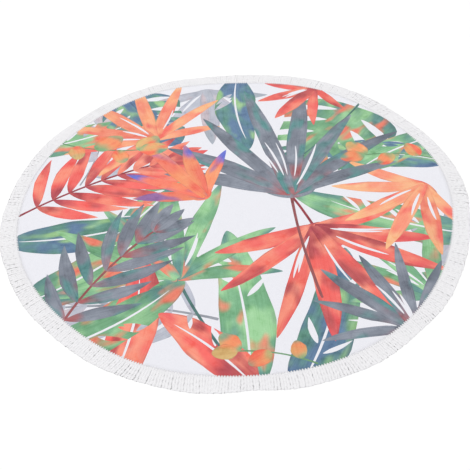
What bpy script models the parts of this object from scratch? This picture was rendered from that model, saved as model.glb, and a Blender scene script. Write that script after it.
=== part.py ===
"""Round beach towel, lying flat: a printed terry cloth with its turned hem, and a cotton fringe trim sewn round it.

Metres, +Z up. The towel lies on the plane z = 0, its outline centred on the origin, and +Y points to its far side.
"""
import math
import random

import bmesh
import bpy
from mathutils import Vector

# Driving dimensions of the cloth.
CLOTH_RADIUS = 0.6955         # mean, from the centre to the cut edge
CLOTH_THICKNESS = 0.0022      # terry with its print on the cropped side
HEM_WIDTH = 0.012             # the edge turned under and sewn down
HEM_SLOPE = 0.003             # where the hem falls to the plain cloth
HEM_THICKNESS = 0.0030
HEM_ROUNDING = 0.0010
CLOTH_SIDES = 200             # corners round the cloth's outline

# Driving dimensions of the fringe trim: a woven header tape and the cotton locks that hang from it.
TRIM_GAP = 0.0003             # parts the tape from the cloth's edge
TAPE_WIDTH = 0.0140
TAPE_THICKNESS = 0.0032
LOCK_COUNT = 240
LOCK_SHARE = 0.68             # of each lock's pitch at its root; the rest is open
LOCK_LENGTH = 0.0400          # mean, from the tape to the tip
LOCK_ROOT_HEIGHT = 0.0030
LOCK_TIP_HEIGHT = 0.0020
LOCK_SECTIONS = 3             # stretches along one lock
LOCK_WAIST = (1.0, 1.04, 0.94, 0.60)   # width at the ends of those stretches, as a share of the root's
TIP_SCATTER = 0.0022          # a single tip is this much longer or shorter
TIP_DRIFT = 0.0007            # and this much to one side
LOCK_SEED = 11

# The edge isn't a true circle as the cloth lies: each row is a wave round it.
EDGE_WAVES = (
    # lobes, swell, bearing of one crest in degrees (0 is +X, 90 is +Y)
    (3, 0.0030, 43.0),
    (4, 0.0028, 28.0),
    (6, 0.0036, 3.5),
    (7, 0.0021, 7.0),
    (8, 0.0019, 19.0),
)
# The locks lie in bunches: these waves make some reach further, and these lean them along the edge.
REACH_WAVES = (
    # lobes, swell, bearing of one crest in degrees
    (10, 0.0013, 7.0),
    (17, 0.0016, 3.0),
    (29, 0.0012, 11.0),
)
LEAN_WAVES = (
    # lobes, swell, bearing of one crest in degrees
    (9, 0.0050, 20.0),
    (16, 0.0042, 8.0),
    (31, 0.0028, 5.0),
)

CLOTH_COLOUR = (0.84, 0.84, 0.90, 1.0)
FRINGE_COLOUR = (0.86, 0.86, 0.86, 1.0)


def start_empty():
    """Clear whatever the file opened with."""
    for old in list(bpy.data.objects):
        bpy.data.objects.remove(old, do_unlink=True)


def wave_sum(waves, bearing):
    """Height at a bearing of waves laid round the edge."""
    return sum(swell * math.cos(lobes * (bearing - math.radians(crest))) for lobes, swell, crest in waves)


def cloth_edge(bearing):
    """Distance from the centre to the cloth's cut edge."""
    return CLOTH_RADIUS + wave_sum(EDGE_WAVES, bearing)


def outward(bearing):
    return Vector((math.cos(bearing), math.sin(bearing), 0.0))


def sideways(bearing):
    return Vector((-math.sin(bearing), math.cos(bearing), 0.0))


def fabric(name, colour, roughness):
    material = bpy.data.materials.new(name)
    material.use_nodes = True
    shader = material.node_tree.nodes["Principled BSDF"]
    shader.inputs["Base Color"].default_value = colour
    shader.inputs["Roughness"].default_value = roughness
    shader.inputs["Metallic"].default_value = 0.0
    return material


def add_object(name, bm, material, collection):
    """Turn a finished bmesh into a named object with its material."""
    bmesh.ops.recalc_face_normals(bm, faces=bm.faces)
    mesh = bpy.data.meshes.new(name)
    bm.to_mesh(mesh)
    bm.free()
    mesh.materials.append(material)
    thing = bpy.data.objects.new(name, mesh)
    collection.objects.link(thing)
    return thing


def build_cloth():
    """A flat disc with the uneven outline, thicker along its hem and rounded at its top edge."""
    bm = bmesh.new()
    bmesh.ops.create_circle(bm, cap_ends=True, segments=CLOTH_SIDES, radius=1.0)
    for corner in bm.verts:
        bearing = math.atan2(corner.co.y, corner.co.x)
        corner.co = outward(bearing) * cloth_edge(bearing)
    underside = bm.faces[:]
    raised = bmesh.ops.extrude_face_region(bm, geom=underside, use_keep_orig=True)
    top_corners = [part for part in raised["geom"] if isinstance(part, bmesh.types.BMVert)]
    bmesh.ops.translate(bm, verts=top_corners, vec=(0.0, 0.0, HEM_THICKNESS))
    top = next(part for part in raised["geom"] if isinstance(part, bmesh.types.BMFace))
    rim = list(top.edges)
    bmesh.ops.inset_region(bm, faces=[top], thickness=HEM_WIDTH, use_even_offset=True)
    bmesh.ops.inset_region(bm, faces=[top], thickness=HEM_SLOPE, use_even_offset=True)
    bmesh.ops.translate(bm, verts=list(top.verts), vec=(0.0, 0.0, CLOTH_THICKNESS - HEM_THICKNESS))
    bmesh.ops.bevel(bm, geom=rim, offset=HEM_ROUNDING, segments=2, profile=0.5, affect="EDGES", material=-1)
    return bm


def tape_bearings():
    """Two bearings for each lock, the two sides of its root."""
    pitch = math.tau / LOCK_COUNT
    half_root = 0.5 * LOCK_SHARE * pitch
    bearings = []
    for number in range(LOCK_COUNT):
        middle = number * pitch
        bearings.append(middle - half_root)
        bearings.append(middle + half_root)
    return bearings


def build_tape():
    """The header tape: a ring of rectangular section just outside the cloth. Returns its mesh and the roots."""
    bearings = tape_bearings()
    inner_edge = CLOTH_RADIUS + TRIM_GAP
    bm = bmesh.new()
    ring = bmesh.ops.create_circle(bm, cap_ends=False, segments=len(bearings), radius=inner_edge)["verts"]
    ring.sort(key=lambda corner: math.atan2(corner.co.y, corner.co.x) % math.tau)
    for corner, bearing in zip(ring, bearings):
        corner.co = outward(bearing) * (cloth_edge(bearing) + TRIM_GAP)
    outer = bmesh.ops.extrude_edge_only(bm, edges=bm.edges[:])
    for corner in (part for part in outer["geom"] if isinstance(part, bmesh.types.BMVert)):
        corner.co += corner.co.normalized() * TAPE_WIDTH
    raised = bmesh.ops.extrude_face_region(bm, geom=bm.faces[:], use_keep_orig=True)
    top = [part for part in raised["geom"] if isinstance(part, bmesh.types.BMVert)]
    bmesh.ops.translate(bm, verts=top, vec=(0.0, 0.0, TAPE_THICKNESS))
    bmesh.ops.recalc_face_normals(bm, faces=bm.faces)
    middle_of_tape = CLOTH_RADIUS + TRIM_GAP + 0.5 * TAPE_WIDTH
    outer_wall = [
        face for face in bm.faces
        if abs(face.normal.z) < 0.5 and face.normal.dot(face.calc_center_median()) > 0.5 * middle_of_tape
    ]
    pitch = math.tau / LOCK_COUNT
    roots = {}
    for face in outer_wall:
        centre = face.calc_center_median()
        place = (math.atan2(centre.y, centre.x) % math.tau) / pitch
        if abs(place - round(place)) < 0.5 * LOCK_SHARE:
            roots[round(place) % LOCK_COUNT] = face
    return bm, [roots[number] for number in range(LOCK_COUNT)]


def grow_lock(bm, root, bearing, length, lean):
    """Draw one lock out of its root face, stretch by stretch, bending along the edge as it goes."""
    start = cloth_edge(bearing) + TRIM_GAP + TAPE_WIDTH
    across = sideways(bearing)
    half_root = max(abs((corner.co - outward(bearing) * start).dot(across)) for corner in root.verts)
    tip = root
    for section in range(1, LOCK_SECTIONS + 1):
        along = section / LOCK_SECTIONS
        tip = bmesh.ops.extrude_discrete_faces(bm, faces=[tip])["faces"][0]
        height = LOCK_ROOT_HEIGHT + (LOCK_TIP_HEIGHT - LOCK_ROOT_HEIGHT) * along
        middle = outward(bearing) * (start + length * along) + across * (lean * along ** 1.6)
        half_width = half_root * LOCK_WAIST[section]
        for corner in tip.verts:
            side = math.copysign(1.0, (corner.co - outward(bearing) * start).dot(across))
            level = height if corner.co.z > 0.5 * LOCK_TIP_HEIGHT else 0.0
            corner.co = middle + across * (side * half_width) + Vector((0.0, 0.0, level))


def build_fringe():
    """The header tape with every lock drawn out of it."""
    bm, roots = build_tape()
    chance = random.Random(LOCK_SEED)
    for number, root in enumerate(roots):
        bearing = number * math.tau / LOCK_COUNT
        scatter = chance.uniform(-TIP_SCATTER, TIP_SCATTER)
        drift = chance.uniform(-TIP_DRIFT, TIP_DRIFT)
        length = LOCK_LENGTH + wave_sum(REACH_WAVES, bearing) + scatter
        lean = wave_sum(LEAN_WAVES, bearing) + drift
        grow_lock(bm, root, bearing, length, lean)
    return bm


def outline_middle(*meshes):
    """Middle of the outline that all the pieces share, on the plane they lie on."""
    spots = [corner.co for bm in meshes for corner in bm.verts]
    middle_x = 0.5 * (min(spot.x for spot in spots) + max(spot.x for spot in spots))
    middle_y = 0.5 * (min(spot.y for spot in spots) + max(spot.y for spot in spots))
    return Vector((middle_x, middle_y, 0.0))


def main():
    start_empty()
    collection = bpy.data.collections.new("round_beach_towel")
    bpy.context.scene.collection.children.link(collection)
    cloth = build_cloth()
    fringe = build_fringe()
    middle = outline_middle(cloth, fringe)
    for bm in (cloth, fringe):
        bmesh.ops.translate(bm, verts=bm.verts, vec=-middle)
    printed_terry = fabric("printed_terry", CLOTH_COLOUR, 0.95)
    cotton_fringe = fabric("cotton_fringe", FRINGE_COLOUR, 0.95)
    add_object("towel_cloth", cloth, printed_terry, collection)
    add_object("fringe_trim", fringe, cotton_fringe, collection)


main()
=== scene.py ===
# %% [markdown]
# # A round beach towel with a cotton fringe
#
# The towel lies flat: one round piece of printed terry, its edge turned under, and a fringe trim sewn over
# that edge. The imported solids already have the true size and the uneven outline. This notebook dresses them
# with what the eye wants: the leaf print, the cropped pile, the woven tape, the sewing thread and 576
# twisted strands.
#
# We start from the frame, which holds the solids. Nothing here moves or resizes them.

# %% Load the frame
import math
import random

import bmesh
import bpy
import numpy as np
from mathutils import Matrix, Quaternion, Vector
from mathutils.geometry import delaunay_2d_cdt


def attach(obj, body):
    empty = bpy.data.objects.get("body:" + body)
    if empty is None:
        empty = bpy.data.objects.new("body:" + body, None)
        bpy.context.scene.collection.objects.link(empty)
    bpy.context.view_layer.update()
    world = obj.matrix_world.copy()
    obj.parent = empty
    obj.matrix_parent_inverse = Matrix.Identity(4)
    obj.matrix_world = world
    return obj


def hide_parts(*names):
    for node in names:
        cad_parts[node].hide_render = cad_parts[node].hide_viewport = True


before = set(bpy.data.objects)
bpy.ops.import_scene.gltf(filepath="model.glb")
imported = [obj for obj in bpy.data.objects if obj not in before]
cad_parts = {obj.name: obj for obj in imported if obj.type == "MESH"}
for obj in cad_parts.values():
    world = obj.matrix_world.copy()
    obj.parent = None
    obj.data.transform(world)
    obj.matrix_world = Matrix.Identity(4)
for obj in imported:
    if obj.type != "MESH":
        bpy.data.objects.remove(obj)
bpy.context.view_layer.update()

# %% [markdown]
# ## Where the edge runs
#
# The cloth isn't a true circle as it lies, and neither is the fringe. Both outlines could be written down
# again here, but then two scripts would have to agree. It is safer to measure them: the corners that a
# solid has on the floor give a distance for each bearing round the centre, and everything that follows asks
# these two functions.

# %% Measure the cloth's edge and the fringe's reach
FLOOR_LEVEL = 0.0002          # a solid's corners below this lie on the floor
LOCK_COUNT = 240
SMOOTHING = 3                 # sectors on either side that each one is averaged with


def floor_corners(node):
    """Bearing and distance from the centre of a solid's corners on the floor, in order round it."""
    spots = {(v.co.x, v.co.y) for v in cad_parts[node].data.vertices if v.co.z < FLOOR_LEVEL}
    return np.array(sorted((math.atan2(y, x) % math.tau, math.hypot(x, y)) for x, y in spots))


def furthest_by_sector(corners, sectors, reach):
    """The largest distance in each of equal sectors, smoothed with so many neighbours on either side."""
    sector = (corners[:, 0] / math.tau * sectors).astype(int)
    far = np.array([corners[sector == k, 1].max() for k in range(sectors)])
    return np.mean([np.roll(far, step) for step in range(-reach, reach + 1)], axis=0)


cloth_corners = floor_corners("towel_cloth")
fringe_far = furthest_by_sector(floor_corners("fringe_trim"), LOCK_COUNT, SMOOTHING)
sector_middles = (np.arange(LOCK_COUNT) + 0.5) * math.tau / LOCK_COUNT


def cloth_edge(bearing):
    """Distance from the centre to the cloth's edge."""
    return float(np.interp(bearing, cloth_corners[:, 0], cloth_corners[:, 1], period=math.tau))


def fringe_reach(bearing):
    """Distance from the centre to the tips of the fringe."""
    return float(np.interp(bearing, sector_middles, fringe_far, period=math.tau))


def outward(bearing):
    return Vector((math.cos(bearing), math.sin(bearing), 0.0))


def sideways(bearing):
    return Vector((-math.sin(bearing), math.cos(bearing), 0.0))


cloth_radius = float(cloth_corners[:, 1].mean())
print(f"cloth {cloth_radius:.4f} m to its edge, fringe {fringe_far.mean():.4f} m to its tips")

# %% [markdown]
# ## The camera
#
# The picture looks down on the towel from about 41 degrees, a little off square. The camera is placed by
# its distance and elevation, aimed at a point on the floor in front of the towel's middle, and rolled about
# its own line of sight. A longer lens from further away would flatten the circle's perspective, so the
# distance matters as much as the lens.

# %% Set up the camera
CAMERA_DISTANCE = 2.462
CAMERA_ELEVATION = math.radians(41.37)
CAMERA_AIM = Vector((-0.007, -0.1615, 0.0))
CAMERA_ROLL = math.radians(-2.19)
CAMERA_LENS_MM = 57.95

camera = bpy.data.objects.new("camera", bpy.data.cameras.new("camera"))
bpy.context.scene.collection.objects.link(camera)
camera.data.lens = CAMERA_LENS_MM
camera.location = CAMERA_DISTANCE * Vector((0.0, -math.cos(CAMERA_ELEVATION), math.sin(CAMERA_ELEVATION)))
camera.rotation_mode = "QUATERNION"
looking = (CAMERA_AIM - camera.location).to_track_quat("-Z", "Y")
camera.rotation_quaternion = looking @ Quaternion((0.0, 0.0, 1.0), CAMERA_ROLL)
bpy.context.scene.camera = camera
print("camera at", [round(x, 3) for x in camera.location])

# %% [markdown]
# ## Shader maths that reads like maths
#
# A material is a web of nodes, and building one node at a time buries the idea under bookkeeping. So one
# small class wraps an output socket. Adding or multiplying two wires adds the Math node that does it, and
# one method adds any other node from its settings and its sockets. Colours never pass through Math nodes,
# which would turn them grey.

# %% A wire for node sockets
MIX_FACTOR, MIX_A, MIX_B, MIX_RESULT = 0, 6, 7, 2   # the colour sockets of a Mix node


class Wire:
    """An output socket to do arithmetic with: each operator adds the Math node that works it out."""

    def __init__(self, tree, socket=None):
        self.tree = tree
        self.socket = socket

    def node(self, kind, settings=None, sockets=None, take=0):
        """Add a node: its settings, then the values or links of its sockets. Returns one of its outputs."""
        made = self.tree.nodes.new("ShaderNode" + kind)
        for name, value in (settings or {}).items():
            setattr(made, name, value)
        for name, value in (sockets or {}).items():
            if isinstance(value, Wire):
                self.tree.links.new(value.socket, made.inputs[name])
            else:
                made.inputs[name].default_value = value
        return Wire(self.tree, made.outputs[take])

    def sum_up(self, operation, *values):
        return self.node("Math", {"operation": operation}, dict(enumerate(values)))

    def __add__(self, other):
        return self.sum_up("ADD", self, other)

    def __radd__(self, other):
        return self.sum_up("ADD", other, self)

    def __sub__(self, other):
        return self.sum_up("SUBTRACT", self, other)

    def __rsub__(self, other):
        return self.sum_up("SUBTRACT", other, self)

    def __mul__(self, other):
        return self.sum_up("MULTIPLY", self, other)

    def __rmul__(self, other):
        return self.sum_up("MULTIPLY", other, self)

    def __abs__(self):
        return self.sum_up("ABSOLUTE", self)

    def wave(self, pitch):
        """0 to 1 and back once in each pitch."""
        return 0.5 + 0.5 * self.sum_up("SINE", self * (math.tau / pitch))

    def ramp(self, low, high):
        """0 below low, 1 above high, and smooth between."""
        edges = {"Value": self, "From Min": low, "From Max": high}
        return self.node("MapRange", {"interpolation_type": "SMOOTHSTEP"}, edges)

    def blend(self, factor, under, over, mode="MIX"):
        """Mix two colours."""
        sockets = {MIX_FACTOR: factor, MIX_A: under, MIX_B: over}
        return self.node("Mix", {"data_type": "RGBA", "blend_type": mode}, sockets, MIX_RESULT)

    def noise(self, place, scale, detail=2.0, roughness=0.5):
        sockets = {"Vector": place, "Scale": scale, "Detail": detail, "Roughness": roughness}
        return self.node("TexNoise", None, sockets)

    def attribute(self, name, take="Fac"):
        """A value that the mesh carries: Fac is a number, Vector or Color the whole of it."""
        return self.node("Attribute", {"attribute_name": name}, None, take)

    def feed(self, shader, name):
        """Run this wire into one of the shader's sockets."""
        self.tree.links.new(self.socket, shader.inputs[name])


# %% Colours and plain materials
SPECULAR = 0.25               # cotton hardly shines


def srgb(red, green, blue):
    """A colour as seen on screen, 0 to 255, as the linear values that shaders use."""
    parts = [part / 255 for part in (red, green, blue)]
    return tuple(p / 12.92 if p <= 0.04045 else ((p + 0.055) / 1.055) ** 2.4 for p in parts) + (1.0,)


def start_material(name, roughness, sheen=0.0):
    """A Principled material. What is the same all over is set on the shader's own sockets."""
    material = bpy.data.materials.new(name)
    material.use_nodes = True
    shader = material.node_tree.nodes["Principled BSDF"]
    shader.inputs["Roughness"].default_value = roughness
    shader.inputs["Sheen Weight"].default_value = sheen
    shader.inputs["Specular IOR Level"].default_value = SPECULAR
    return material, shader, Wire(material.node_tree)


# %% [markdown]
# ## A leaf with a brush
#
# The print is an all-over pattern of tropical leaves, painted wet and cut off at the hem. Each painted
# shape is a blade on a curved midline. Its half width rises and falls along the midline by one formula with
# three numbers: where it is widest, how full its sides are, and how wide it starts. Lances, fan fingers,
# broad paddles, hearts and stems all come from that formula, so the whole print is a few short functions.
#
# A blade also answers the opposite question: given a point on the cloth, how far along the leaf is it, and
# how far across? The material needs that to run colour from root to tip. Two kinds of blade aren't paint at
# all: a slit takes paint away from one leaf, and a bare one is a line that the brush left white.

# %% One painted blade
PROFILES = {
    # kind: (skew of the widest place, fullness of the sides, root's width as a share)
    "lance": (0.80, 0.85, 0.00),
    "finger": (0.86, 0.72, 0.30),
    "paddle": (0.74, 0.62, 0.03),
    "heart": (0.56, 0.60, 0.00),
    "oval": (0.90, 0.55, 0.00),
    "stem": (0.30, 0.10, 0.80),
}
STRAIGHT = 0.001              # a turn smaller than this, in radians, counts as none
WOBBLE = 0.055                # the brush's unevenness, as a share of the width
SLOW_WOBBLE, QUICK_WOBBLE = 9, 21   # radians of it along a blade
CLOSEST_CORNERS = 0.0001      # an outline's corners that are nearer than this are one
PALM_SHARE = 0.30             # of a fan's reach, where its fingers are grown together
LINE_WIDTH = 0.0075           # of a line that the brush left white
blades = []
brush = random.Random(5)


class Blade:
    """One painted shape on the cloth, in metres, with headings and turns in degrees."""

    def __init__(self, paint, root, heading, length, width, turn=0.0, kind="lance", steps=16, cuts=None):
        self.paint, self.kind, self.steps, self.cuts = paint, kind, steps, cuts
        self.root, self.length, self.width = root, length, width
        self.heading, self.turn = math.radians(heading), math.radians(turn)
        if abs(self.turn) < STRAIGHT:
            self.turn = STRAIGHT
        self.radius = self.length / self.turn
        self.shade = brush.uniform(-1.0, 1.0)
        self.wobble = brush.uniform(0.0, math.tau)
        blades.append(self)

    def half_width(self, share):
        skew, fullness, root = PROFILES[self.kind]
        swell = math.sin(math.pi * share ** skew) if 0.0 < share < 1.0 else 0.0
        taper = swell ** fullness * (1.0 - root * (1.0 - share) ** 2)
        return 0.5 * self.width * (taper + root * (1.0 - share) ** 4)

    def spot(self, share, aside=0.0):
        """The point at a share of the length, that far to the left of the midline."""
        angle = self.turn * share
        x = (self.radius - aside) * math.sin(angle)
        y = self.radius - (self.radius - aside) * math.cos(angle)
        cos, sin = math.cos(self.heading), math.sin(self.heading)
        return (self.root[0] + cos * x - sin * y, self.root[1] + sin * x + cos * y)

    def place(self, x, y):
        """The other way round: the share along the blade and the distance to the left of its midline."""
        cos, sin = math.cos(self.heading), math.sin(self.heading)
        dx, dy = x - self.root[0], y - self.root[1]
        ahead, left = cos * dx + sin * dy, cos * dy - sin * dx
        way = math.copysign(1.0, self.radius)
        share = math.atan2(way * ahead, way * (self.radius - left)) / self.turn
        aside = self.radius - way * math.hypot(ahead, self.radius - left)
        return share, aside

    def outline(self):
        """Corners of the shape, up its right edge and back down its left, which is counter-clockwise."""
        corners = []
        for side in (-1, 1):
            for step in range(self.steps + 1):
                share = 0.5 - 0.5 * math.cos(math.pi * step / self.steps)
                share = share if side < 0 else 1.0 - share
                uneven = WOBBLE * math.sin(SLOW_WOBBLE * share + self.wobble + side)
                uneven += 0.5 * WOBBLE * math.sin(QUICK_WOBBLE * share + 2 * self.wobble - side)
                corners.append(self.spot(share, side * self.half_width(share) * (1.0 + uneven)))
        following = corners[1:] + corners[:1]
        return [spot for spot, after in zip(corners, following) if math.dist(spot, after) > CLOSEST_CORNERS]


# %% [markdown]
# ## Five kinds of leaf
#
# With the blade in hand, each plant is a loop. A fan sends fingers out of one palm. A feather sets pairs of
# lances along a curving rib. A paddle is one broad blade torn by the wind, and a split leaf is a heart cut
# deeper between its veins: there the cuts are blades too, which take paint away from their own leaf and let
# what lies under it show. A sprig carries small round leaves by turns.

# %% Plants made of blades
STALK_WIDTH, RIB_WIDTH, VEIN_WIDTH, TWIG_WIDTH = 0.011, 0.010, 0.007, 0.006


def stem(paint, root, heading, length, width, turn=0.0):
    return Blade(paint + "_stem", root, heading, length, width, turn, "stem")


def beyond(at, heading, distance):
    """The point that far from another one in a direction."""
    angle = math.radians(heading)
    return (at[0] + distance * math.cos(angle), at[1] + distance * math.sin(angle))


def fan(paint, at, heading, reach, spread, fingers, width=0.15, stalk=0.0, lines=0):
    """Fingers out of one palm, the outer ones first and shortest, so the middle ones lie on top."""
    if stalk:
        stem(paint, at, heading + 180, stalk, STALK_WIDTH, 10)
    palm = reach * PALM_SHARE
    palm_width = palm * min(spread / 110, 1.25)
    Blade(paint, beyond(at, heading, -0.12 * palm), heading, palm, palm_width, 0, "oval")
    for number in sorted(range(fingers), key=lambda k: -abs(k - 0.5 * (fingers - 1))):
        off = number / (fingers - 1) - 0.5   # the outer ones are shorter and slimmer and curve away
        length = reach * (1.0 - 0.9 * abs(off) ** 1.7) * brush.uniform(0.88, 1.08)
        broad = reach * width * (1.0 - 0.4 * abs(off)) * brush.uniform(0.85, 1.15)
        aim = heading + off * spread + brush.uniform(-4, 4)
        Blade(paint, at, aim, length, broad, 36 * off + brush.uniform(-7, 7), "finger")
    for _ in range(lines):
        aim = heading + brush.uniform(-0.42, 0.42) * spread
        start = beyond(at, aim, reach * brush.uniform(0.08, 0.20))
        length, broad = reach * brush.uniform(0.25, 0.40), LINE_WIDTH * brush.uniform(0.8, 1.5)
        Blade("bare", start, aim, length, broad, 12, "oval")


def feather(paint, at, heading, reach, turn, pairs, width=0.085, leaflet=0.5):
    """Pairs of lances along a curving rib, wide open at its foot and closing towards its tip."""
    rib = stem(paint, at, heading, reach, RIB_WIDTH, turn)
    for number in range(pairs):
        share = 0.16 + 0.80 * number / (pairs - 1)   # the lances are longest half way up
        for side in (-1, 1):
            aim = heading + turn * share + side * (66 - 42 * share) + brush.uniform(-3, 3)
            swell = math.sin(math.pi * (0.16 + 0.72 * share)) ** 0.8
            length = reach * leaflet * swell * brush.uniform(0.9, 1.08)
            broad = reach * width * brush.uniform(0.85, 1.1)
            Blade(paint, rib.spot(share), aim, length, broad, -side * brush.uniform(8, 26), steps=12)
    Blade(paint, rib.spot(0.97), heading + turn, reach * 0.26, reach * width, 6)


def cut_slit(leaf, share, side, start, lean, length, width, turn):
    """A torn slit that takes paint away from one leaf, running out of it beside the midline."""
    root = leaf.spot(share, side * start)
    aim = math.degrees(leaf.heading + leaf.turn * share) + side * lean
    Blade("slit", root, aim, length, width, -side * turn, steps=9, cuts=leaf)


def paddle(paint, at, heading, length, width, turn, slits=4):
    """One broad blade with a midrib and a few torn slits."""
    leaf = Blade(paint, at, heading, length, width, turn, "paddle", steps=26)
    for _ in range(slits):
        share, side = brush.uniform(0.22, 0.8), brush.choice((-1, 1))
        tear = 0.13 * width * brush.uniform(0.6, 1.2)
        cut_slit(leaf, share, side, 0.08 * width, brush.uniform(34, 52), 0.62 * width, tear, 14)
    Blade("bare", leaf.spot(0.04), heading, length * brush.uniform(0.7, 0.9), LINE_WIDTH, turn, "oval")


def split(paint, at, heading, length, width, turn=8, lobes=5):
    """A heart-shaped leaf cut between its veins, on a short stalk."""
    leaf = Blade(paint, at, heading, length, width, turn, "heart", steps=26)
    for side in (-1, 1):
        for number in range(lobes):
            share = 0.12 + 0.66 * number / (lobes - 1) + brush.uniform(-0.02, 0.02)
            gap = 0.085 * width * brush.uniform(0.8, 1.25)
            cut_slit(leaf, share, side, 0.13 * width, 74 - 38 * share, 0.62 * width, gap, 22)
    stem(paint, at, heading, length * 0.9, VEIN_WIDTH, turn)
    stem(paint, at, heading + 180, length * 0.45, RIB_WIDTH, -14)


def sprig(paint, at, heading, reach, turn, count, leaf=0.085):
    """Small round leaves by turns on either side of a thin stem."""
    rib = stem(paint, at, heading, reach, TWIG_WIDTH, turn)
    for number in range(count):
        share = 0.2 + 0.76 * number / (count - 1)
        side = 1 if number % 2 else -1
        size = leaf * brush.uniform(0.8, 1.15)
        aim = heading + turn * share + side * brush.uniform(38, 60)
        Blade(paint, rib.spot(share), aim, size, size * 0.72, side * 10, "oval", steps=12)
    Blade(paint, rib.spot(0.99), heading + turn, leaf, leaf * 0.72, 4, "oval", steps=12)


# %% [markdown]
# ## The layout
#
# Plants are laid from the bottom of the pile to the top, each at its own place in metres from the towel's
# middle, with +Y away from the camera. Pale shapes and broad greens go down first, then corals, then
# slates, then a few bright accents. Many roots sit past the hem, so leaves run off the edge as they do on
# cloth that was printed by the metre.

# %% Lay the plants, bottom ones first
sprig("haze", (-0.52, 0.10), 70, 0.34, 24, 5, leaf=0.12)
fan("haze", (0.60, -0.30), 20, 0.30, 160, 6, width=0.20)
fan("haze", (-0.10, 0.64), 275, 0.36, 120, 5, width=0.18, lines=2)
feather("haze", (-0.06, -0.50), 160, 0.46, 24, 7)
paddle("teal", (0.02, 0.72), 262, 0.46, 0.15, 24, slits=3)
paddle("green", (-0.74, 0.30), 12, 0.50, 0.15, 20, slits=4)
paddle("teal", (-0.70, -0.16), 358, 0.50, 0.14, 26, slits=3)
paddle("green", (-0.62, -0.42), 28, 0.56, 0.155, 22, slits=5)
paddle("green", (0.02, -0.74), 88, 0.60, 0.155, 14, slits=5)
paddle("teal", (0.14, -0.74), 58, 0.54, 0.15, 24, slits=4)
paddle("green", (0.74, -0.20), 168, 0.62, 0.15, -22, slits=5)
paddle("teal", (0.72, 0.16), 158, 0.46, 0.14, 26, slits=4)
split("green", (0.46, 0.50), 236, 0.48, 0.40, -12)
split("teal", (-0.40, 0.60), 300, 0.36, 0.30, 10)
paddle("green", (-0.16, 0.20), 250, 0.46, 0.13, -26, slits=3)
fan("green", (-0.18, -0.34), 112, 0.46, 190, 8, width=0.165, stalk=0.40, lines=7)
fan("green", (0.56, -0.44), 104, 0.36, 150, 6, width=0.18, stalk=0.2, lines=4)
fan("coral", (0.24, -0.14), 288, 0.46, 165, 8, width=0.16, stalk=0.22, lines=7)
feather("coral", (-0.72, -0.06), 40, 0.58, -22, 9)
paddle("coral", (-0.34, -0.70), 72, 0.46, 0.14, 22, slits=3)
paddle("green", (-0.54, -0.60), 20, 0.46, 0.14, 26, slits=3)
paddle("green", (0.70, 0.30), 200, 0.42, 0.13, 22, slits=3)
paddle("coral", (0.03, -0.72), 128, 0.36, 0.12, 16, slits=3)
fan("flame", (-0.28, 0.34), 120, 0.38, 190, 8, width=0.16, lines=5)
fan("flame", (0.62, 0.04), 226, 0.36, 130, 6, width=0.18, lines=4)
fan("slate", (0.18, 0.02), 92, 0.60, 128, 8, width=0.125, stalk=0.46, lines=5)
feather("slate", (-0.52, -0.56), 72, 0.52, -28, 7)
fan("slate", (0.48, -0.56), 112, 0.34, 130, 7, width=0.14, stalk=0.16, lines=4)
fan("sunset", (-0.10, 0.02), 128, 0.36, 84, 5, width=0.17)
fan("coral", (0.32, 0.64), 232, 0.28, 110, 5, width=0.18, lines=3)
sprig("fruit", (-0.62, 0.34), -26, 0.30, 30, 4, leaf=0.10)
sprig("fruit", (0.68, 0.18), 158, 0.24, 30, 3)
sprig("fruit", (0.20, -0.66), 152, 0.22, 30, 3, leaf=0.07)
print(len(blades), "blades,", sum(blade.cuts is not None for blade in blades), "of them slits")

# %% [markdown]
# ## Printing by cutting
#
# How do crisp leaf edges get onto a mesh? A picture would blur close up, and raising each leaf would turn
# paint into relief. Cutting is better: if the cloth's own faces end exactly where the paint does, each face
# can carry its leaf's colours and the edge stays sharp at any distance. No modelling operator cuts a sheet
# by hundreds of overlapping outlines, but Blender's constrained triangulation does just that in one call.
# It takes outlines that may cross, and tells for every triangle which of them it lies in. A net of loose
# points between them keeps the sheet even enough to ripple.

# %% Cut the sheet along every outline
HEM_WIDTH = 0.012
HEM_SLOPE = 0.008
UNDER_TAPE = 0.007            # the cloth reaches this far under the header tape
RIM_CORNERS = 720
NET_PITCH = 0.0095
NET_MARGIN = 1.05             # the net is laid this much wider than the cloth and trimmed to its edge
CUT_TOLERANCE = 2e-5


def ring_of_points(inset, count):
    """Points round the cloth, that far inside its visible edge."""
    bearings = [k * math.tau / count for k in range(count)]
    return [outward(b).xy * (cloth_edge(b) - inset) for b in bearings]


def net_points(pitch):
    """Loose points at the corners of equal triangles, so every second row lies half a step along."""
    half = int(cloth_radius * NET_MARGIN / pitch)
    for row in range(-half, half + 1):
        for column in range(-half, half + 1):
            spot = Vector(((column + 0.5 * (row % 2)) * pitch, row * pitch * math.sqrt(0.75)))
            if spot.length < cloth_edge(math.atan2(spot.y, spot.x)) - HEM_WIDTH - HEM_SLOPE - 0.5 * pitch:
                yield spot


corners, outlines = ring_of_points(-UNDER_TAPE, RIM_CORNERS), [list(range(RIM_CORNERS))]
for blade in blades:
    shape = [Vector(spot) for spot in blade.outline()]
    outlines.append(list(range(len(corners), len(corners) + len(shape))))
    corners.extend(shape)
corners.extend(ring_of_points(HEM_WIDTH, RIM_CORNERS // 2))
corners.extend(ring_of_points(HEM_WIDTH + HEM_SLOPE, RIM_CORNERS // 2))
corners.extend(net_points(NET_PITCH))
cut = delaunay_2d_cdt(corners, [], outlines, 1, CUT_TOLERANCE, True)
cut_corners, cut_faces, faces_within = cut[0], cut[2], cut[5]
print(len(corners), "points cut into", len(cut_faces), "triangles")

# %% [markdown]
# Every triangle now knows the outlines around it. The topmost leaf that hasn't been slit there is the one
# that shows, and triangles outside the cloth's own outline, number 0, are thrown away.

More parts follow.
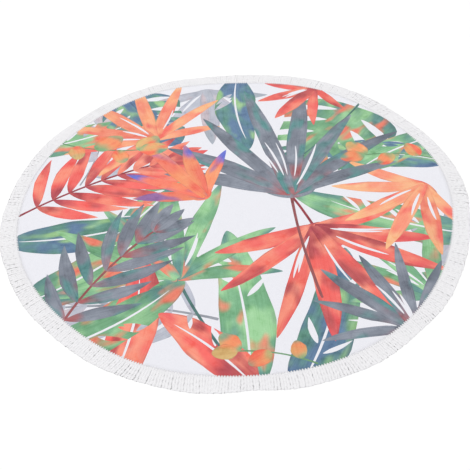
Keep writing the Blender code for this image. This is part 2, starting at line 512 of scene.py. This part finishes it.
# %% Decide which leaf shows on each triangle
GROUND = -1
leaf_numbers = {id(blade): number for number, blade in enumerate(blades)}


def visible_leaf(within):
    """Number of the topmost leaf over a triangle, or GROUND where no paint reaches it."""
    over = [blades[number - 1] for number in within if number > 0]
    slit = {id(blade.cuts) for blade in over if blade.cuts is not None}
    painted = [leaf_numbers[id(b)] for b in over if b.cuts is None and id(b) not in slit]
    top = max(painted, default=GROUND)
    return GROUND if top != GROUND and blades[top].paint == "bare" else top


kept = [(face, visible_leaf(within)) for face, within in zip(cut_faces, faces_within) if 0 in within]
bare = sum(leaf == GROUND for _, leaf in kept)
print(len(kept), "triangles in the cloth,", bare, "of them bare ground")

# %% [markdown]
# ## From a cut pattern to cloth
#
# The triangles become a bmesh and get their height: the terry lies on the floor in very low, soft ripples,
# and rises a little where its edge is turned under. The ripples die out towards the seam, which draws the
# cloth into fine gathers instead. A copy of the face, turned over, is the looped underside, and bridging
# the two rims closes the sheet.

# %% How high the cloth lies
CLOTH_THICKNESS = 0.0019
LIFT = 0.0004                 # the middle lies this far off the floor, because the hem is thicker
HEM_UNDERSIDE, HEM_TOP = 0.0001, 0.0026
RIPPLES = (
    # wavelength, heading in degrees, height
    (0.41, 25.0, 0.00045),
    (0.29, 110.0, 0.00035),
    (0.19, 160.0, 0.00022),
)
PUCKERS = ((151, 0.00016), (223, 0.00012))   # round the seam: how many, and how high
PUCKER_FADE = 0.030           # they die out this far inside the hem
RIPPLE_FADE = 0.090           # and the ripples this far before it


def ripple(x, y):
    """How far the cloth stands off the floor at a point, never below zero."""
    bearing = math.atan2(y, x)
    inset = max(cloth_edge(bearing) - math.hypot(x, y) - HEM_WIDTH, 0.0)
    waves = 0.0
    for wavelength, heading, height in RIPPLES:
        along = x * math.cos(math.radians(heading)) + y * math.sin(math.radians(heading))
        waves += height * (1.0 + math.sin(math.tau * along / wavelength))
    gathers = sum(height * (1.0 + math.sin(count * bearing)) for count, height in PUCKERS)
    return waves * min(inset / RIPPLE_FADE, 1.0) + gathers * math.exp(-inset / PUCKER_FADE)


def hem_share(x, y):
    """0 on the plain cloth, 1 on the turned hem."""
    inset = cloth_edge(math.atan2(y, x)) - math.hypot(x, y)
    return min(max((HEM_WIDTH + HEM_SLOPE - inset) / HEM_SLOPE, 0.0), 1.0)


def lay(side_verts, plain_height, hem_height):
    """Raise the corners of one side: so high on the plain cloth, and so high on the hem."""
    for vert in side_verts:
        x, y = vert.co.xy
        hem = hem_share(x, y)
        vert.co.z = (1.0 - hem) * (plain_height + ripple(x, y)) + hem * hem_height


highest_ripple = 2 * sum(height for _, _, height in RIPPLES)
print(f"ripples up to {1000 * highest_ripple:.1f} mm high")

# %% Raise the cloth and close it
bm = bmesh.new()
leaf_layer = bm.faces.layers.int.new("leaf")
under_layer = bm.faces.layers.float.new("under")
spots = [bm.verts.new((spot.x, spot.y, 0.0)) for spot in cut_corners]
for face, leaf in kept:
    bm.faces.new([spots[corner] for corner in face])[leaf_layer] = leaf
bmesh.ops.delete(bm, geom=[vert for vert in bm.verts if not vert.link_faces], context="VERTS")
printed_side = bm.faces[:]
upper_rim = [edge for edge in bm.edges if edge.is_boundary]
lower = bmesh.ops.duplicate(bm, geom=printed_side)
lower_side = [part for part in lower["geom"] if isinstance(part, bmesh.types.BMFace)]
lower_edges = dict.fromkeys(edge for face in lower_side for edge in face.edges)
lower_rim = [edge for edge in lower_edges if edge.is_boundary]
bmesh.ops.reverse_faces(bm, faces=lower_side)
lay({vert for face in printed_side for vert in face.verts}, LIFT + CLOTH_THICKNESS, HEM_TOP)
lay({vert for face in lower_side for vert in face.verts}, LIFT, HEM_UNDERSIDE)
wall = bmesh.ops.bridge_loops(bm, edges=upper_rim + lower_rim)["faces"]
for face in lower_side + wall:
    face[under_layer] = 1.0
for face in wall:
    face[leaf_layer] = GROUND
for face in printed_side + lower_side:
    face.smooth = True


def finish_piece(bm, name, material):
    """A named object from a bmesh, with its place in its mesh."""
    mesh = bpy.data.meshes.new(name)
    bm.to_mesh(mesh)
    bm.free()
    mesh.materials.append(material)
    piece = bpy.data.objects.new(name, mesh)
    bpy.context.scene.collection.objects.link(piece)
    triangles = sum(len(face.vertices) - 2 for face in mesh.polygons)
    print(f"{name}: {triangles} triangles")
    return piece


cloth_material, cloth_shader, cloth_wire = start_material("printed_terry", roughness=0.9, sheen=0.15)
cloth = finish_piece(bm, "printed_cloth", cloth_material)

# %% [markdown]
# ## The paints
#
# Watercolour is never one colour. A leaf starts in one at its root, opens into its body colour, and ends in
# a third, with a patch of something warmer or cooler where a second colour was dropped in while it was wet,
# and a second wash over part of it. So each paint is five colours, and each blade is a touch lighter or
# darker than the next.

# %% Mix the paints
PAINTS = {
    # name: (root, body, tip, dropped-in patch, second wash), as seen on screen
    "coral": ((170, 72, 82), (234, 104, 98), (224, 92, 94), (182, 84, 86), (242, 144, 122)),
    "flame": ((230, 110, 98), (240, 146, 120), (240, 184, 136), (234, 112, 102), (246, 174, 132)),
    "green": ((98, 142, 138), (116, 168, 128), (96, 140, 136), (232, 130, 108), (152, 200, 150)),
    "teal": ((98, 124, 160), (98, 146, 130), (92, 132, 140), (150, 192, 138), (96, 124, 156)),
    "slate": ((170, 98, 100), (118, 124, 136), (104, 112, 124), (92, 140, 140), (136, 142, 154)),
    "haze": ((176, 180, 190), (186, 188, 200), (164, 172, 182), (200, 186, 192), (180, 184, 196)),
    "sunset": ((238, 112, 94), (238, 126, 104), (100, 112, 200), (150, 108, 162), (242, 150, 108)),
    "fruit": ((124, 172, 128), (240, 148, 104), (118, 158, 132), (238, 112, 88), (214, 178, 118)),
}
PAINT_PARTS = ("root_paint", "body_paint", "tip_paint", "patch_paint", "wash_paint")
STEM_SHARE = 0.72             # how much a stem keeps of the brightness of its leaf's root colour
SHADE_RANGE = 0.07            # how much lighter or darker than its paint a blade can be
LEAST_HALF_WIDTH = 0.002
LEAF_STEP = 3.7               # sets the noise of one leaf apart from the next one's
STUDIO_LIGHT = 0.93           # of a flat colour's brightness is left in the studio, under the pile's shadows
MOST_LIGHT = 0.95             # no paint throws back more than this


def shaded(colour, shade):
    lit = (1.0 + SHADE_RANGE * shade) / STUDIO_LIGHT
    return tuple(min(part * lit, MOST_LIGHT) for part in srgb(*colour)[:3]) + (1.0,)


def paint_rows(part):
    """One of the five colours for every blade, with the bare ground's row last."""
    rows = []
    for blade in blades:
        name = blade.paint.removesuffix("_stem")
        colours = PAINTS.get(name, PAINTS["haze"])   # slits and bare lines never show, so any will do
        thin = blade.paint.endswith("_stem")
        mixed = shaded(colours[0 if thin else part], blade.shade)
        rows.append(tuple(STEM_SHARE * value for value in mixed[:3]) + (1.0,) if thin else mixed)
    rows.append((0.0, 0.0, 0.0, 1.0))
    return np.array(rows, dtype=np.float32)


def corner_attribute(mesh, name, kind, values):
    """Give every face corner a value that the material can read."""
    field = "color" if kind == "FLOAT_COLOR" else "vector"
    data = mesh.attributes.new(name, kind, "CORNER").data
    data.foreach_set(field, np.asarray(values, np.float32).ravel())


print(len(PAINTS), "paints of", len(PAINT_PARTS), "colours each")

# %% Give every corner its paint and its place in the leaf
mesh = cloth.data
face_leaf = [item.value for item in mesh.attributes["leaf"].data]
corner_leaf = np.repeat(face_leaf, [polygon.loop_total for polygon in mesh.polygons])
for part, name in enumerate(PAINT_PARTS):
    corner_attribute(mesh, name, "FLOAT_COLOR", paint_rows(part)[corner_leaf])
places, metres = np.zeros((len(mesh.loops), 3)), np.zeros((len(mesh.loops), 3))
for loop in mesh.loops:
    leaf = corner_leaf[loop.index]
    if leaf != GROUND:
        x, y, _ = mesh.vertices[loop.vertex_index].co
        share, aside = blades[leaf].place(x, y)
        side = aside / max(blades[leaf].half_width(share), LEAST_HALF_WIDTH)
        places[loop.index] = share, side, 1.0 + leaf
        metres[loop.index] = share * blades[leaf].length, aside, LEAF_STEP * leaf
corner_attribute(mesh, "leaf_place", "FLOAT_VECTOR", places)
corner_attribute(mesh, "leaf_metres", "FLOAT_VECTOR", metres)
print("painted share of the face corners:", round(float((corner_leaf != GROUND).mean()), 3))

# %% [markdown]
# One more thing lives on the corners. When the cloth is baked to a picture for other programs, its printed
# side should get nearly all of that picture. So it brings its own map: the printed side fills the square,
# and the underside and the thin edge wall are tucked into two of the corners that a round shape leaves
# free.

# %% Map the cloth for baking
BAKE_MARGIN = 1.01
BAKE_REACH = BAKE_MARGIN * (float(cloth_corners[:, 1].max()) + UNDER_TAPE)
CORNER_SIDE = 0.14            # of the square that a round shape leaves free in each corner
WALL_RING, WALL_BREADTH = 0.30, 0.10   # the wall is a ring in its corner: inner radius and breadth
MAP_MIDDLE = Vector((0.5, 0.5))
underneath = np.array([item.value for item in mesh.attributes["under"].data])
bake_map = mesh.uv_layers.new(name="OFBake")
for polygon in mesh.polygons:
    wall_face = underneath[polygon.index] > 0.5 and abs(polygon.normal.z) < 0.5
    for loop_index in polygon.loop_indices:
        spot = mesh.vertices[mesh.loops[loop_index].vertex_index].co
        place_on = MAP_MIDDLE + 0.5 * spot.xy / BAKE_REACH
        if wall_face:
            ring = spot.xy.normalized() * (WALL_RING + WALL_BREADTH * spot.z / HEM_TOP)
            place_on = Vector((1.0, 1.0)) + CORNER_SIDE * (ring - MAP_MIDDLE)
        elif underneath[polygon.index] > 0.5:
            place_on = CORNER_SIDE * place_on
        bake_map.data[loop_index].uv = place_on
print("bake map reaches", round(BAKE_REACH, 4), "m")

# %% [markdown]
# ## Terry with a print on it
#
# The material puts the paints together. Wet paint wanders, so noise bends the run from root to tip and
# opens the patches; thin streaks follow the brush; a fine grain stands for pigment settling in the pile;
# and each leaf dries darker at its very edge. The printed side was cropped to a short velour, which shows
# as a fine even bump. Underneath, the loops are whole and white, with a ghost of the print coming through.

# %% Build the cloth's material
GROUND_WHITE = srgb(236, 236, 242)
LOOP_WHITE = srgb(238, 238, 241)
PIT_SHADE = (0.62, 0.62, 0.66, 1.0)
EDGE_STAIN = (0.25, 0.22, 0.30, 1.0)
BLACK, WHITE = (0.0, 0.0, 0.0, 1.0), (1.0, 1.0, 1.0, 1.0)
BLOOMS, GRAINS, TUFTS, LOOPS = 26.0, 420.0, 900.0, 520.0   # how many of them there are to a metre
w = cloth_wire
here = w.node("TexCoord", None, None, "Object")
place = w.node("SeparateXYZ", None, {0: w.attribute("leaf_place", "Vector")})
share, side, number = (Wire(w.tree, output) for output in place.socket.node.outputs)
leaf_metres = w.attribute("leaf_metres", "Vector")
paints = [w.attribute(name, "Color") for name in PAINT_PARTS]
root_paint, body_paint, tip_paint, patch_paint, wash_paint = paints
inked = number.ramp(0.4, 0.6)


def wet(along, across, shift, detail=1.0):
    """Cloudy noise that runs with each leaf and starts afresh in it: so many clouds to a metre, each way."""
    sockets = {0: leaf_metres, 1: (along, across, 1.0), 2: shift}
    return w.noise(w.node("VectorMath", {"operation": "MULTIPLY_ADD"}, sockets), 1.0, detail)


run = share + 0.9 * (wet(8.0, 12.0, (0.0, 0.0, 0.3), 2.0) - 0.5)
colour = w.blend(run.ramp(0.02, 0.36), root_paint, body_paint)
colour = w.blend(run.ramp(0.60, 0.92), colour, tip_paint)
colour = w.blend(wet(9.0, 16.0, (5.0, 0.0, 0.7)).ramp(0.40, 0.66), colour, wash_paint)
colour = w.blend(wet(9.0, 18.0, (9.0, 3.0, 1.1)).ramp(0.53, 0.70), colour, patch_paint)
streak = wet(10.0, 240.0, (2.0, 0.0, 1.7), 2.0)
colour = w.blend(streak.ramp(0.55, 0.30) * 0.22, colour, BLACK, "SOFT_LIGHT")
bloom = w.noise(here, BLOOMS, 4.0, 0.6)
colour = w.blend(bloom.ramp(0.50, 0.80) * 0.42, colour, WHITE, "SOFT_LIGHT")
colour = w.blend(bloom.ramp(0.50, 0.22) * 0.52, colour, BLACK, "SOFT_LIGHT")
dry_edge = abs(side).ramp(0.86, 1.0) * bloom.ramp(0.3, 0.6)
colour = w.blend(dry_edge * 0.35, colour, EDGE_STAIN, "MULTIPLY")
grain = w.noise(here, GRAINS, 2.0)
colour = w.blend((grain - 0.5) * 0.8, colour, WHITE, "SOFT_LIGHT")
printed = w.blend(inked, GROUND_WHITE, colour)
under = w.attribute("under")
ghost = w.blend(inked * 0.10, LOOP_WHITE, colour)
pile = w.noise(here, TUFTS, 2.0, 0.6)
loops = w.node("TexVoronoi", {"feature": "F1"}, {"Vector": here, "Scale": LOOPS})
fabric = pile * (1.0 - under) + (1.0 - loops) * under
woven = w.blend(under, printed, ghost)
# painted shade in the low places of the velour's pile and between the loops underneath
pits = (0.52 - fabric).ramp(0.0, 0.20)
w.blend(pits * 0.30, woven, PIT_SHADE, "MULTIPLY").feed(cloth_shader, "Base Color")
bump = {"Strength": 0.8, "Distance": 0.0008, "Height": fabric}
w.node("Bump", None, bump).feed(cloth_shader, "Normal")
print("the printed terry takes", len(w.tree.nodes), "nodes")

# %% [markdown]
# ## The header tape
#
# A bought fringe hangs from a narrow woven tape, which is laid over the towel's hem and sewn through. Its
# inner edge isn't straight: every strand loops round it, so it looks like a row of small teeth against the
# print. The strands also raise ribs across the tape, and past the hem it sinks to the floor under them. So
# the tape is a ring drawn outwards from its toothed edge, one extrusion for each line of its section.

# %% The tape's section
TAPE_WIDTH = 0.0165
TAPE_THICKNESS = 0.0008
TEETH = 576
CORNERS_PER_TOOTH = 8
TOOTH_DEPTH = 0.0062
TAPE_SECTION = (
    # distance out from the cloth's edge, height of the top, share of the ribs that the strands raise
    (0.0042, 0.0027, 0.0),
    (0.0052, 0.0029, 0.5),
    (0.0065, 0.0028, 1.0),
    (0.0090, 0.0021, 1.0),
    (0.0115, 0.0013, 1.0),
    (0.0140, 0.0010, 0.8),
    (TAPE_WIDTH, 0.0009, 0.0),
)
RIB_HEIGHT = 0.0018


def tape_spot(bearing, out, height, tooth=0.0):
    return outward(bearing) * (cloth_edge(bearing) + out - tooth) + Vector((0.0, 0.0, height))


def section_line(ring, line):
    """Move one ring of corners to its line of the tape's section."""
    out, height, ribbed = TAPE_SECTION[line]
    for number, corner in enumerate(ring):
        crest = abs(math.cos(math.pi * number / CORNERS_PER_TOOTH))
        tooth = TOOTH_DEPTH * crest if line == 0 else 0.0
        top = height + RIB_HEIGHT * ribbed * crest
        corner.co = tape_spot(number * math.tau / len(ring), out, top, tooth)


def in_order(verts):
    """The corners of a ring by their bearing."""
    return sorted(verts, key=lambda vert: math.atan2(vert.co.y, vert.co.x) % math.tau)


print(TEETH, "teeth,", round(1000 * math.tau * cloth_radius / TEETH, 1), "mm apart")

# %% Draw the tape outwards
bm = bmesh.new()
ring = bmesh.ops.create_circle(bm, segments=TEETH * CORNERS_PER_TOOTH, radius=cloth_radius)["verts"]
section_line(in_order(ring), 0)
line_edges = bm.edges[:]
for line in range(1, len(TAPE_SECTION)):
    drawn = bmesh.ops.extrude_edge_only(bm, edges=line_edges)["geom"]
    line_edges = [part for part in drawn if isinstance(part, bmesh.types.BMEdge) and part.is_boundary]
    section_line(in_order({vert for edge in line_edges for vert in edge.verts}), line)
bmesh.ops.recalc_face_normals(bm, faces=bm.faces)
if bm.faces[:][0].normal.z < 0:
    bmesh.ops.reverse_faces(bm, faces=bm.faces)
bmesh.ops.solidify(bm, geom=bm.faces[:], thickness=TAPE_THICKNESS)
for face in bm.faces:
    face.smooth = True
tape_material, tape_shader, tape_wire = start_material("woven_tape", roughness=0.95, sheen=0.2)
tape = finish_piece(bm, "header_tape", tape_material)
runs = []
for loop in tape.data.loops:
    x, y, _ = tape.data.vertices[loop.vertex_index].co
    bearing = math.atan2(y, x)
    runs.append((bearing * cloth_radius, math.hypot(x, y) - cloth_edge(bearing), 0.0))
corner_attribute(tape.data, "thread_run", "FLOAT_VECTOR", runs)

# %% [markdown]
# ## Twisted cotton strands
#
# One strand is two plies wound round each other, so its section has two lobes with a groove between them,
# and the section turns on its way along. Spin draws that in one call: it turns a small ring about the
# strand's axis while sliding it along, which makes the groove a helix. The yarns that wind across it are
# too thin to model, so its corners carry a count of them for the material. The finished strand is copied
# round the tape, one for each tooth, and every copy is bent on its way out: it comes out of the tape's
# ribs, drops to the floor, leans with its bunch, curls a little and ends a little sooner or later than the
# next, where its cut end frays out flat. No two are equally thick.

# %% Twist one strand
STRAND_RADIUS = 0.0045
GROOVE = 0.17                 # the lobes stand out by this share, and the grooves sink as much
STRAND_SIDES = 8
STRAND_STEPS = 12
STRAND_TURNS = 1.5
YARNS_ROUND, YARNS_ALONG = 5, 15   # how many yarns wind across it, counted round it and along it


def count_yarns(face, layer):
    """Number the yarns at a face's corners: the count goes up by one from each yarn to the next."""
    rounds = [math.atan2(loop.vert.co.z, loop.vert.co.y) / math.tau for loop in face.loops]
    over_the_seam = max(rounds) - min(rounds) > 0.5
    for loop, part in zip(face.loops, rounds):
        part += 1.0 if over_the_seam and part < 0.0 else 0.0
        loop[layer] = YARNS_ROUND * part - YARNS_ALONG * loop.vert.co.x


def twist_strand():
    """A strand of length 1 along X, as one body with a groove wound round it."""
    bm = bmesh.new()
    stand = Matrix.Rotation(0.5 * math.pi, 4, "Y")
    ring = bmesh.ops.create_circle(
        bm, cap_ends=True, segments=STRAND_SIDES, radius=STRAND_RADIUS, matrix=stand)
    for vert in ring["verts"]:
        vert.co *= 1.0 + GROOVE * math.cos(2.0 * math.atan2(vert.co.z, vert.co.y))
    bmesh.ops.spin(
        bm, geom=bm.verts[:] + bm.edges[:] + bm.faces[:], cent=(0.0, 0.0, 0.0), axis=(1.0, 0.0, 0.0),
        dvec=(1.0 / STRAND_STEPS, 0.0, 0.0), angle=math.tau * STRAND_TURNS, steps=STRAND_STEPS,
        use_duplicate=False)
    bmesh.ops.recalc_face_normals(bm, faces=bm.faces)
    yarn_layer = bm.loops.layers.float.new("yarn")
    for face in bm.faces:
        face.smooth = True
        count_yarns(face, yarn_layer)
    mesh = bpy.data.meshes.new("one_strand")
    bm.to_mesh(mesh)
    bm.free()
    return mesh


one_strand = twist_strand()
print("one strand has", len(one_strand.polygons), "faces")

# %% How the strands lie
STRAND_ROOT = 0.0055          # a strand starts this far out from the cloth's edge, inside the tape
STRAND_FLATNESS = 0.21        # a soft strand lies a little flat
ROOT_HEIGHT = 0.0016
CREST_HEIGHT = 0.0021
REST_HEIGHT = 0.0014
CREST_SHARE, DROP_SHARE = 0.10, 0.40   # of its length, up to the crest and down from it
ROOT_SWELL, SWELL_SHARE = 0.08, 0.40   # a strand is this much wider at its root, and slims over this share
TIP_SPREAD = 0.12             # and it loosens towards its tip
THIN_FROM, TIP_THINNING = 0.72, 0.86   # from this share on it thins by so much, and frays out flat
LEAN_WAVES = (
    # lobes, swell, bearing of one crest in degrees
    (9, 0.0046, 20.0),
    (16, 0.0034, 8.0),
    (31, 0.0016, 5.0),
    (57, 0.0008, 2.0),
)
LEAN_POWER = 1.6              # a strand leans more and more towards its tip
CURL = 0.0006
CURL_CYCLES = (0.8, 1.8)
TIP_SCATTER = 0.0006
LENGTH_SCATTER = 0.045
THICKNESS_SCATTER = 0.07
ROOT_SCATTER = 0.10           # of the step from one strand to the next
LOOSE_LIFT = 0.0002           # the loosest strand stands this much higher
LIFT_FROM, LIFT_SHARE = 0.30, 0.40   # from this share of its length on, rising over that one
COMBED = (
    # bearing and span of a stretch in degrees, how much further out its tips lie
    (62.0, 22.0, 0.0095),
    (93.0, 13.0, 0.0035),
    (171.0, 8.0, -0.0035),
    (240.0, 7.0, 0.0030),
    (272.5, 5.0, -0.0090),
    (308.0, 9.0, -0.0045),
)
winder = random.Random(23)


def lean(bearing):
    """How far the tips near a bearing lie to one side."""
    return sum(
        swell * math.cos(lobes * (bearing - math.radians(crest)))
        for lobes, swell, crest in LEAN_WAVES)


def combed(bearing):
    """How much further out the tips near a bearing lie, as the fringe happened to be combed."""
    degrees = math.degrees(bearing)
    return sum(
        more * math.exp(-(math.remainder(degrees - at, 360.0) / span) ** 2)
        for at, span, more in COMBED)


def ease(share):
    """0 below 0, 1 above 1, and smooth between."""
    share = min(max(share, 0.0), 1.0)
    return share * share * (3.0 - 2.0 * share)


def bend_strand(verts, bearing):
    """Bend one copy of the strand from its root in the tape to its tip."""
    root = cloth_edge(bearing) + STRAND_ROOT
    length = (fringe_reach(bearing) + combed(bearing) - root) * winder.uniform(1.0 - LENGTH_SCATTER, 1.0)
    tip_lean = lean(bearing) + winder.uniform(-TIP_SCATTER, TIP_SCATTER)
    curl, phase, cycles = winder.gauss(0.0, CURL), winder.uniform(0.0, math.tau), winder.uniform(*CURL_CYCLES)
    roll, lift = winder.uniform(0.0, math.tau), winder.uniform(0.0, LOOSE_LIFT)
    thick = winder.uniform(1.0 - THICKNESS_SCATTER, 1.0 + THICKNESS_SCATTER)
    away, across = outward(bearing), sideways(bearing)
    for vert in verts:
        along, y, z = max(vert.co.x, 0.0), vert.co.y * thick, vert.co.z * thick
        y, z = y * math.cos(roll) - z * math.sin(roll), y * math.sin(roll) + z * math.cos(roll)
        height = ROOT_HEIGHT + (CREST_HEIGHT - ROOT_HEIGHT) * ease(along / CREST_SHARE)
        height += (REST_HEIGHT - CREST_HEIGHT) * ease((along - CREST_SHARE) / DROP_SHARE)
        height += lift * ease((along - LIFT_FROM) / LIFT_SHARE)
        y *= 1.0 + ROOT_SWELL * (1.0 - ease(along / SWELL_SHARE)) + TIP_SPREAD * ease(along)
        aside = tip_lean * along ** LEAN_POWER + curl * along * math.sin(math.tau * cycles * along + phase)
        thin = 1.0 - TIP_THINNING * ease((along - THIN_FROM) / (1.0 - THIN_FROM))
        up = Vector((0.0, 0.0, thin * (height + z * STRAND_FLATNESS)))
        vert.co = away * (root + length * along) + across * (aside + y) + up


tips = [fringe_reach(bearing) + combed(bearing) for bearing in sector_middles]
print(f"tips {min(tips):.4f} to {max(tips):.4f} m from the centre")

# %% Lay the copies round in four pieces
QUARTERS = 4
strand_material, strand_shader, strand_wire = start_material("cotton_strands", roughness=0.95, sheen=0.3)
strand_pieces = []
for quarter in range(QUARTERS):
    bm = bmesh.new()
    for number in range(quarter * TEETH // QUARTERS, (quarter + 1) * TEETH // QUARTERS):
        bm.from_mesh(one_strand)
        bm.verts.ensure_lookup_table()
        placed = bm.verts[-len(one_strand.vertices):]
        step = number + winder.uniform(-ROOT_SCATTER, ROOT_SCATTER)
        bend_strand(placed, step * math.tau / TEETH)
    strand_pieces.append(finish_piece(bm, f"fringe_strands_{quarter + 1}", strand_material))

# %% [markdown]
# ## The sewing thread
#
# A zigzag of white thread holds the tape down, and only its upper side would ever show. So it needs no
# curve: each leg is a short thin bar, from the rib behind a tooth to the gap beside it, where it lies just
# over the cloth.

# %% Sew the tape down
THREAD_RADIUS = 0.00028
THREAD_SIDES = 5
STITCH_COUNT = 2 * TEETH
STITCH_INNER, STITCH_OUTER = 0.0018, 0.0052   # how far out from the cloth's edge the legs begin and end
STITCH_HEIGHT = 0.0034


def add_stitch(bm, start, end):
    """One leg of thread, with a ring of corners round its middle, so that only its ends are shaded round."""
    run = end - start
    turn = run.to_track_quat("Z", "Y").to_matrix().to_4x4()
    bar = bmesh.ops.create_cone(
        bm, cap_ends=True, segments=THREAD_SIDES, radius1=THREAD_RADIUS, radius2=THREAD_RADIUS,
        depth=run.length, matrix=Matrix.Translation((start + end) / 2) @ turn)
    edges = dict.fromkeys(edge for vert in bar["verts"] for edge in vert.link_edges)
    sides = [edge for edge in edges if edge.calc_length() > 2 * THREAD_RADIUS]
    bmesh.ops.subdivide_edges(bm, edges=sides, cuts=1)


bm = bmesh.new()
for number in range(STITCH_COUNT):
    first, last = (STITCH_INNER, STITCH_OUTER) if number % 2 else (STITCH_OUTER, STITCH_INNER)
    begin, end = number * math.tau / STITCH_COUNT, (number + 1) * math.tau / STITCH_COUNT
    add_stitch(bm, tape_spot(begin, first, STITCH_HEIGHT), tape_spot(end, last, STITCH_HEIGHT))
for face in bm.faces:
    face.smooth = True
thread_material, thread_shader, thread_wire = start_material("sewing_thread", roughness=0.7)
thread = finish_piece(bm, "zigzag_thread", thread_material)

# %% [markdown]
# ## Cotton up close
#
# The strands and the thread are both white cotton, so one function dresses them. Fine noise stands for the
# fibres, and where a mesh counts its yarns, a wave turns the count into ridges, with painted shade in the
# grooves between them. The count follows each strand's own twist and bend, which a pattern laid over them
# all could not do.

# %% Dress the strands and the thread
STRAND_WHITE, THREAD_WHITE = srgb(241, 240, 242), srgb(246, 246, 248)
GROOVE_SHADE = (0.60, 0.60, 0.63, 1.0)
CLOUDS = 60.0                 # soft clouds of shade to a metre


def dress_cotton(wire, shader, white, fibres, depth):
    """White cotton with so many fibres to a metre, and ridges that deep where the mesh counts its yarns."""
    here = wire.node("TexCoord", None, None, "Object")
    yarn = wire.attribute("yarn").wave(1.0)
    # painted shade in the grooves between the yarns, and noise clouds that darken the white a little
    shade = wire.noise(here, CLOUDS, 2.0) * 0.06 + (1.0 - yarn) * 0.10
    wire.blend(shade, white, GROOVE_SHADE).feed(shader, "Base Color")
    bump = {"Strength": 0.6, "Distance": depth, "Height": wire.noise(here, fibres, 3.0, 0.6) + yarn}
    wire.node("Bump", None, bump).feed(shader, "Normal")


dress_cotton(strand_wire, strand_shader, STRAND_WHITE, fibres=900.0, depth=0.0003)
dress_cotton(thread_wire, thread_shader, THREAD_WHITE, fibres=1500.0, depth=0.0001)
print("the strands and the thread take", len(strand_wire.tree.nodes), "nodes each")

# %% [markdown]
# ## The tape's weave
#
# The tape is woven flat, with threads along it and threads across. Two waves do for both: one runs along the
# tape and the other out from the cloth's edge. Their product is high where two threads cross and low in the
# gaps, which get a little painted shade.

# %% Weave the tape's surface
TAPE_WHITE = srgb(243, 242, 244)
WARP_PITCH, WEFT_PITCH = 0.0012, 0.0011
PIT_DEPTH = 0.35              # the weave's pits begin below this height
w = tape_wire
here = w.node("TexCoord", None, None, "Object")
run = w.node("SeparateXYZ", None, {0: w.attribute("thread_run", "Vector")})
along, out, _ = (Wire(w.tree, output) for output in run.socket.node.outputs)
weft = along.wave(WEFT_PITCH)
warp = out.wave(WARP_PITCH)
weave = weft * warp + 0.25 * w.noise(here, TUFTS, 2.0)
# painted shade in the gaps between the threads
pits = (PIT_DEPTH - weave).ramp(0.0, PIT_DEPTH)
w.blend(pits * 0.35, TAPE_WHITE, PIT_SHADE, "MULTIPLY").feed(tape_shader, "Base Color")
w.node("Bump", None, {"Strength": 0.7, "Distance": 0.0003, "Height": weave}).feed(tape_shader, "Normal")
print("the woven tape takes", len(w.tree.nodes), "nodes")

# %% [markdown]
# ## Ride and replace
#
# The new pieces ride on the one body and stand for the plain solids.

# %% Fit the pieces to the frame
fringe_pieces = [tape, thread, *strand_pieces]
for piece in [cloth, *fringe_pieces]:
    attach(piece, "root")
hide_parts("towel_cloth")
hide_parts("fringe_trim")

# %% [markdown]
# ## Floor and light
#
# A towel like this is shown on white, so the floor is almost white and the light comes from all round, with
# one broad soft lamp above to give the strands a little shape.

# %% Set the floor and the light
FLOOR_SIDE = 14.0
FLOOR_WHITE = (0.97, 0.97, 0.97, 1.0)
STUDIO_STRENGTH = 0.95
LAMP_SIDE = 4.0
LAMP_PLACE = Vector((-0.8, 0.8, 4.0))
LAMP_WATTS = 28.0

bm = bmesh.new()
bmesh.ops.create_grid(bm, x_segments=1, y_segments=1, size=FLOOR_SIDE / 2)
floor_material, floor_shader, _ = start_material("pale_floor", roughness=0.9)
floor_shader.inputs["Base Color"].default_value = FLOOR_WHITE
floor = finish_piece(bm, "floor", floor_material)

world = bpy.data.worlds.new("studio")
world.use_nodes = True
background = world.node_tree.nodes["Background"]
background.inputs["Color"].default_value = WHITE
background.inputs["Strength"].default_value = STUDIO_STRENGTH
bpy.context.scene.world = world

lamp = bpy.data.objects.new("soft_lamp", bpy.data.lights.new("soft_lamp", "AREA"))
lamp.data.shape = "SQUARE"
lamp.data.size = LAMP_SIDE
lamp.data.energy = LAMP_WATTS
lamp.location = LAMP_PLACE
lamp.rotation_mode = "QUATERNION"
lamp.rotation_quaternion = (-LAMP_PLACE).to_track_quat("-Z", "Y")
bpy.context.scene.collection.objects.link(lamp)
bpy.context.scene.view_settings.view_transform = "Standard"
